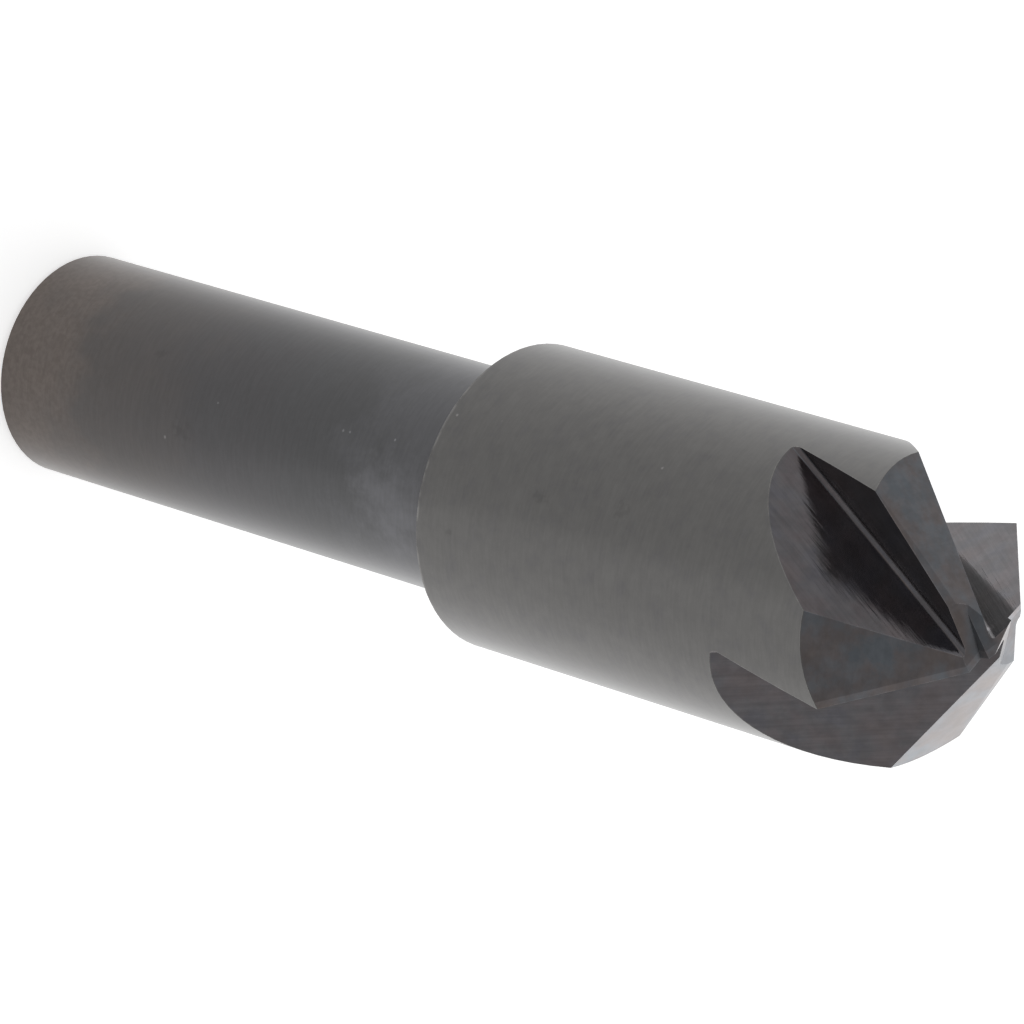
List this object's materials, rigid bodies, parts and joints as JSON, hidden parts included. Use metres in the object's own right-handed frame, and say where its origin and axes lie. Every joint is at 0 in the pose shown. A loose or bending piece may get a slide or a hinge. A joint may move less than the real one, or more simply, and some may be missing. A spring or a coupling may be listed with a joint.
{
  "type": "countersink bit",
  "caption": "Solid countersink bit with a stepped-down straight shank and a fluted cutting cone, ground from dark coated steel.",
  "frame": {"origin": "centre of the shank's flat end", "axes": "+Z along the bit's axis towards the cutting end, +X through the cutting corner of one tooth of the first pair"},
  "size_m": [0.0126, 0.0126, 0.0512],
  "materials": {
    "coated_steel": "ground, with a thin dark coating"
  },
  "bodies": {
    "root": {"countersink_bit": "coated_steel"}
  },
  "joints": []
}
